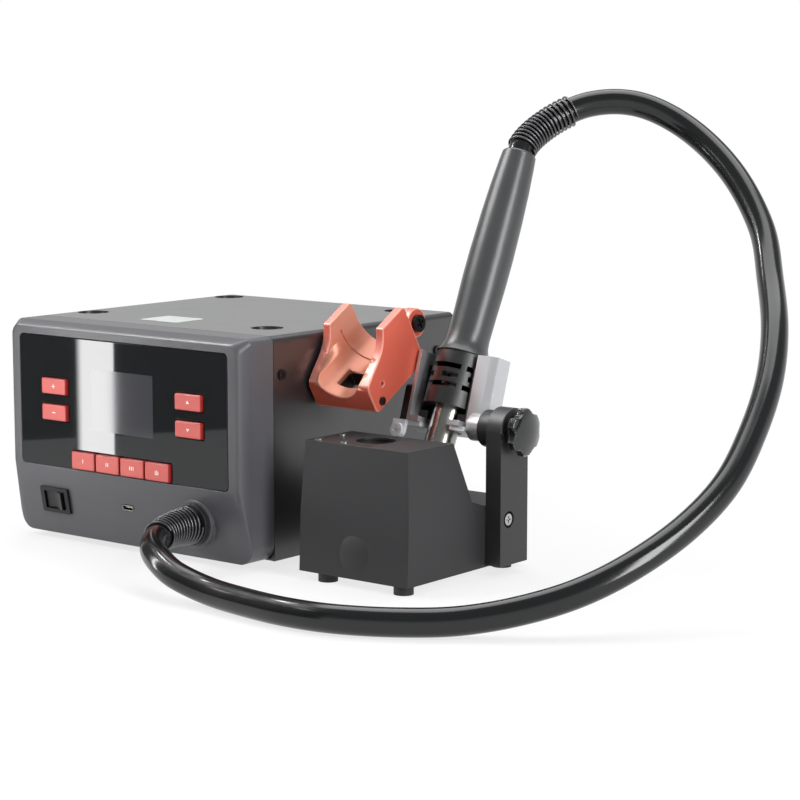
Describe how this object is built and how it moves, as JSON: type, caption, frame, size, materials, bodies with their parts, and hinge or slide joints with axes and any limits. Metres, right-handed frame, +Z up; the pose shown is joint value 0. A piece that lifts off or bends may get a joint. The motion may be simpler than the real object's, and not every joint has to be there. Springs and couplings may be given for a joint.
{
  "type": "hot air rework station",
  "caption": "Hot air rework station: a dark grey case with glass front and coral keys, a red tilting holder, and a stand whose clamped cradle holds the hot air handle on its black hose",
  "frame": {"origin": "centre of the whole part's footprint on the bench, measured without the free hose", "axes": "+X to the stand on the operator's right, +Y away from the operator, +Z up"},
  "size_m": [0.4533, 0.3275, 0.268],
  "materials": {
    "case_paint": "fine textured dark grey powder coat",
    "frame_plastic": "satin dark grey moulded plastic",
    "front_glass": "glossy black",
    "display": "dark grey",
    "key_plastic": "satin coral red",
    "board": "green solder resist",
    "black_plastic": "satin black",
    "knob_plastic": "glossy black",
    "impeller_plastic": "moulded dark grey",
    "plain_steel": "drawn",
    "screw_steel": "zinc plated",
    "black_screws": "black oxide",
    "spring_steel": "dark oiled",
    "aluminium": "satin machined",
    "red_anodised": "satin red anodised",
    "stand_paint": "fine textured dark grey powder coat",
    "rubber": "moulded",
    "grip_rubber": "satin soft touch",
    "hose_rubber": "glossy silicone",
    "ceramic": "mica and ceramic"
  },
  "bodies": {
    "root": {"base_tray": "case_paint", "top_cover": "case_paint", "rear_panel": "case_paint", "front_bezel": "frame_plastic", "front_glass": "front_glass", "display_module": "display", "key_board": "board", "switch_housing": "black_plastic", "usb_socket": "plain_steel", "hose_gland": "black_plastic", "front_spring": "spring_steel", "blower_housing": "black_plastic", "blower_cover": "black_plastic", "blower_motor": "plain_steel", "air_duct": "black_plastic", "main_board": "board", "heatsink": "aluminium", "inlet_socket": "black_plastic", "case_feet": "rubber", "case_screws": "screw_steel", "holder_boss": "black_plastic", "holder_screw": "screw_steel", "stand_base": "stand_paint", "stand_top_plate": "black_plastic", "plate_screws": "screw_steel", "front_cap": "black_plastic", "ballast_block": "plain_steel", "stand_bottom_plate": "plain_steel", "stand_feet": "rubber", "support_arm": "stand_paint", "arm_screws": "screw_steel", "hose": "hose_rubber"},
    "plus_key": {"plus_key": "key_plastic"},
    "minus_key": {"minus_key": "key_plastic"},
    "upper_right_key": {"upper_right_key": "key_plastic"},
    "lower_right_key": {"lower_right_key": "key_plastic"},
    "memory_key_1": {"memory_key_1": "key_plastic"},
    "memory_key_2": {"memory_key_2": "key_plastic"},
    "memory_key_3": {"memory_key_3": "key_plastic"},
    "standby_key": {"standby_key": "key_plastic"},
    "rocker": {"rocker": "black_plastic"},
    "impeller": {"impeller": "impeller_plastic"},
    "fuse_drawer": {"fuse_drawer": "black_plastic"},
    "holder": {"red_holder": "red_anodised", "holder_trim_screws": "black_screws"},
    "cradle": {"cradle_channel": "aluminium", "cradle_liner": "rubber", "cradle_foot": "aluminium", "cradle_side_cover": "black_plastic", "friction_washer": "black_plastic"},
    "knob": {"clamp_stud": "plain_steel", "star_knob": "knob_plastic"},
    "handle": {"handle_grip": "grip_rubber", "slotted_collar": "black_plastic", "steel_barrel": "plain_steel", "mica_tube": "ceramic", "heater_core": "ceramic", "end_fitting": "black_plastic", "handle_spring": "spring_steel"}
  },
  "joints": [
    {"name": "plus_key_press", "type": "slide", "parent": "root", "child": "plus_key", "axis": [0, 1, 0], "range_m": [0, 0.0008], "stiffness_N_per_m": 1500},
    {"name": "minus_key_press", "type": "slide", "parent": "root", "child": "minus_key", "axis": [0, 1, 0], "range_m": [0, 0.0008], "stiffness_N_per_m": 1500},
    {"name": "upper_right_key_press", "type": "slide", "parent": "root", "child": "upper_right_key", "axis": [0, 1, 0], "range_m": [0, 0.0008], "stiffness_N_per_m": 1500},
    {"name": "lower_right_key_press", "type": "slide", "parent": "root", "child": "lower_right_key", "axis": [0, 1, 0], "range_m": [0, 0.0008], "stiffness_N_per_m": 1500},
    {"name": "memory_key_1_press", "type": "slide", "parent": "root", "child": "memory_key_1", "axis": [0, 1, 0], "range_m": [0, 0.0008], "stiffness_N_per_m": 1500},
    {"name": "memory_key_2_press", "type": "slide", "parent": "root", "child": "memory_key_2", "axis": [0, 1, 0], "range_m": [0, 0.0008], "stiffness_N_per_m": 1500},
    {"name": "memory_key_3_press", "type": "slide", "parent": "root", "child": "memory_key_3", "axis": [0, 1, 0], "range_m": [0, 0.0008], "stiffness_N_per_m": 1500},
    {"name": "standby_key_press", "type": "slide", "parent": "root", "child": "standby_key", "axis": [0, 1, 0], "range_m": [0, 0.0008], "stiffness_N_per_m": 1500},
    {"name": "rocker_tilt", "type": "hinge", "parent": "root", "child": "rocker", "pos_m": [-0.1209, -0.09176, 0.02586], "axis": [0, -0.1812, 0.9835], "range_deg": [0, 20]},
    {"name": "impeller_spin", "type": "hinge", "parent": "root", "child": "impeller", "pos_m": [-0.0064, 0.0175, 0.062], "axis": [1, 0, 0], "continuous": true},
    {"name": "fuse_drawer_slide", "type": "slide", "parent": "root", "child": "fuse_drawer", "axis": [0, 1, 0], "range_m": [0, 0.016]},
    {"name": "holder_tilt", "type": "hinge", "parent": "root", "child": "holder", "pos_m": [0.0376, -0.02307, 0.11906], "axis": [1, 0, 0], "range_deg": [-15, 29]},
    {"name": "cradle_tilt", "type": "hinge", "parent": "root", "child": "cradle", "pos_m": [0.0981, 0.0005, 0.081], "axis": [1, 0, 0], "range_deg": [-5, 30], "deforming": ["hose"]},
    {"name": "knob_turn", "type": "hinge", "parent": "root", "child": "knob", "pos_m": [0.1536, 0.0005, 0.081], "axis": [1, 0, 0], "continuous": true},
    {"name": "handle_lift", "type": "slide", "parent": "cradle", "child": "handle", "axis": [0, 0.309, 0.9511], "range_m": [0, 0.026], "deforming": ["hose"]}
  ]
}
